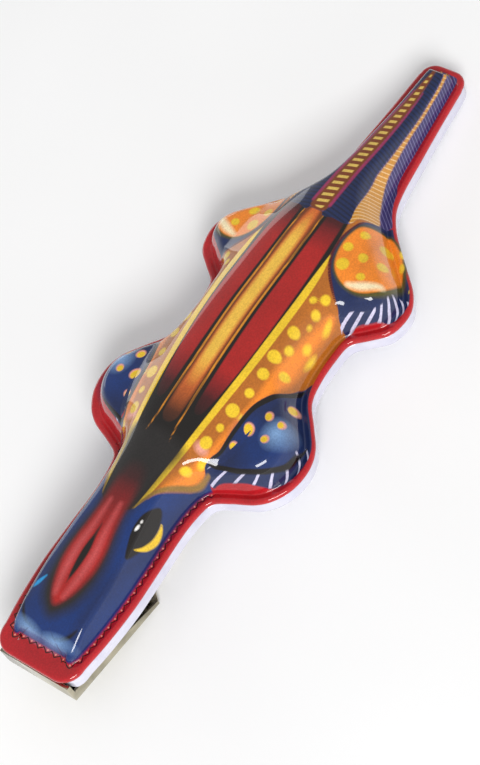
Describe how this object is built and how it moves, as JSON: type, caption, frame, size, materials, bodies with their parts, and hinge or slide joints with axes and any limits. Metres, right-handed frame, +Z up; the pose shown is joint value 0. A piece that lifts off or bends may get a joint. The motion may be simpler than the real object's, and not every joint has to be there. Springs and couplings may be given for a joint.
{
  "type": "alligator clip",
  "caption": "Alligator-shaped tin clip: an embossed shell rolled onto a shallow tray, with a sprung steel jaw and finger lever hinged under the head.",
  "frame": {"origin": "centre of the bounding box at the level of the surface it rests on", "axes": "+X from the snout to the tail, +Y to the animal's right side, +Z up; the body leans back onto its lever and its tail"},
  "size_m": [0.11, 0.0376, 0.0158],
  "materials": {
    "printed_tin": "glossy lacquer over a printed pattern",
    "white_lacquered_tin": "gloss white lacquer",
    "nickel_plated_steel": "bright nickel plate",
    "pin_steel": "plain steel with peened heads",
    "spring_wire": "drawn spring wire",
    "rivet_steel": "plated steel"
  },
  "bodies": {
    "body": {"printed_shell": "printed_tin", "base_tray": "white_lacquered_tin", "clip_plate": "nickel_plated_steel", "hinge_pin": "pin_steel", "spring": "spring_wire", "front_rivet": "rivet_steel", "rear_rivet": "rivet_steel"},
    "jaw": {"lower_jaw": "nickel_plated_steel"}
  },
  "joints": [
    {"name": "jaw_hinge", "type": "hinge", "parent": "body", "child": "jaw", "pos_m": [-0.03316, 0, 0.00299], "axis": [0, -1, 0], "range_deg": [0, 13], "stiffness_Nm_per_rad": 0.12, "springref_deg": -17.19, "deforming": ["spring"]}
  ]
}
